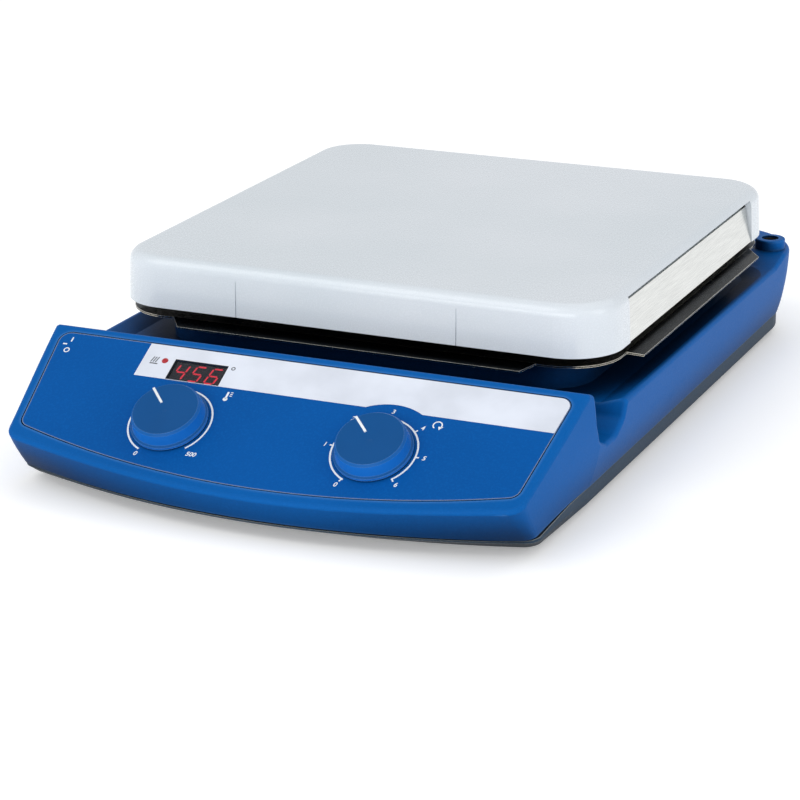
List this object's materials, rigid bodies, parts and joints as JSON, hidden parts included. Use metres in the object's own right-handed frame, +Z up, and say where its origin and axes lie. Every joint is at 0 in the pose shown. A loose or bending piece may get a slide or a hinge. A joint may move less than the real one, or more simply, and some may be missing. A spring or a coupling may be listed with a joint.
{
  "type": "magnetic stirrer with hotplate",
  "caption": "Low blue magnetic stirrer: a square white heated plate over a polished heat shield, and a sloping front hood with two knobs, a display window and a white label band.",
  "frame": {"origin": "on the resting surface, under the middle of the whole object's box", "axes": "+Z up, -Y the front with the controls, +X to the operator's right"},
  "size_m": [0.2788, 0.4174, 0.089],
  "materials": {
    "blue_paint": "satin blue paint on die-cast aluminium",
    "pan_paint": "satin slate paint on sheet steel",
    "seal_rubber": "matt black",
    "foot_rubber": "matt black",
    "screw_steel": "zinc-plated",
    "plate_enamel": "glossy white enamel",
    "panel_steel": "polished sheet",
    "shield_steel": "bright polished sheet",
    "heater_aluminium": "as cast",
    "element_mica": "strip element in mica",
    "insulation": "fibre mat",
    "sensor_steel": "satin tube",
    "post_ceramic": "fired, unglazed",
    "panel_film": "printed blue film on a stiff plate",
    "band_film": "printed white film",
    "window_plastic": "dark red tinted window",
    "lens_red": "clear red lens",
    "board_green": "solder mask",
    "black_plastic": "fine-grained",
    "brass": "turned",
    "knob_blue": "satin blue",
    "pointer_white": "white inlay",
    "shaft_steel": "ground",
    "bracket_steel": "zinc-plated sheet",
    "can_steel": "grey",
    "copper_coils": "enamelled windings",
    "rotor_iron": "laminated",
    "magnet_nickel": "nickel-plated",
    "switch_black": "moulded",
    "contact_brass": "tin-plated",
    "fuse_glass": "clear tube",
    "transformer_iron": "varnished laminations",
    "capacitor_sleeve": "shrink sleeve",
    "loom_silicone": "silicone sleeve"
  },
  "bodies": {
    "base": {"base_pan": "pan_paint", "board_capacitors": "capacitor_sleeve", "board_screws": "screw_steel", "board_standoffs": "brass", "chassis_screws": "screw_steel", "control_board": "board_green", "control_panel": "panel_film", "display_module": "black_plastic", "display_window": "window_plastic", "foot_front_left": "foot_rubber", "foot_front_right": "foot_rubber", "foot_rear_left": "foot_rubber", "foot_rear_right": "foot_rubber", "foot_screws": "screw_steel", "heat_shield": "shield_steel", "heater_loom": "loom_silicone", "heater_plate": "heater_aluminium", "heating_element": "element_mica", "housing": "blue_paint", "inlet_pins": "contact_brass", "insulation_pad": "insulation", "label_band": "band_film", "mains_inlet": "black_plastic", "motor_bearings": "shaft_steel", "motor_bracket": "bracket_steel", "motor_can": "can_steel", "motor_screws": "screw_steel", "pan_screws": "screw_steel", "plate_cap": "plate_enamel", "plate_posts": "post_ceramic", "plate_sensor": "sensor_steel", "post_screws": "screw_steel", "pot_nuts": "brass", "power_board": "board_green", "rod_insert": "brass", "safety_cutout": "post_ceramic", "seal_ring": "seal_rubber", "sensor_nut": "brass", "sensor_socket": "black_plastic", "side_panel_left": "panel_steel", "side_panel_right": "panel_steel", "speed_potentiometer": "black_plastic", "stator_coils": "copper_coils", "status_lens": "lens_red", "switch_frame": "switch_black", "temp_potentiometer": "black_plastic", "transformer": "transformer_iron"},
    "temp_dial": {"temp_knob": "knob_blue", "temp_shaft": "shaft_steel", "temp_pointer": "pointer_white"},
    "speed_dial": {"speed_knob": "knob_blue", "speed_shaft": "shaft_steel", "speed_pointer": "pointer_white"},
    "stir_rotor": {"rotor": "rotor_iron", "rotor_shaft": "shaft_steel", "magnet_carrier": "heater_aluminium", "drive_magnets": "magnet_nickel"},
    "switch_rocker": {"power_rocker": "switch_black"},
    "fuse_holder": {"fuse_drawer": "black_plastic", "fuses": "fuse_glass"}
  },
  "joints": [
    {"name": "temp_knob_turn", "type": "hinge", "parent": "base", "child": "temp_dial", "pos_m": [-0.0518, -0.176, 0.03866], "axis": [0, 0.4818, -0.8763], "range_deg": [-112, 180]},
    {"name": "speed_knob_turn", "type": "hinge", "parent": "base", "child": "speed_dial", "pos_m": [0.0518, -0.176, 0.03866], "axis": [0, 0.4818, -0.8763], "range_deg": [-112, 180]},
    {"name": "stir_rotor_spin", "type": "hinge", "parent": "base", "child": "stir_rotor", "pos_m": [0, 0.0368, 0.03], "axis": [0, 0, 1], "continuous": true},
    {"name": "power_rocker_tilt", "type": "hinge", "parent": "base", "child": "switch_rocker", "pos_m": [-0.132, -0.1405, 0.0395], "axis": [0, 1, 0], "range_deg": [0, 22]},
    {"name": "fuse_drawer_slide", "type": "slide", "parent": "base", "child": "fuse_holder", "axis": [0, 1, 0], "range_m": [0, 0.018]}
  ]
}
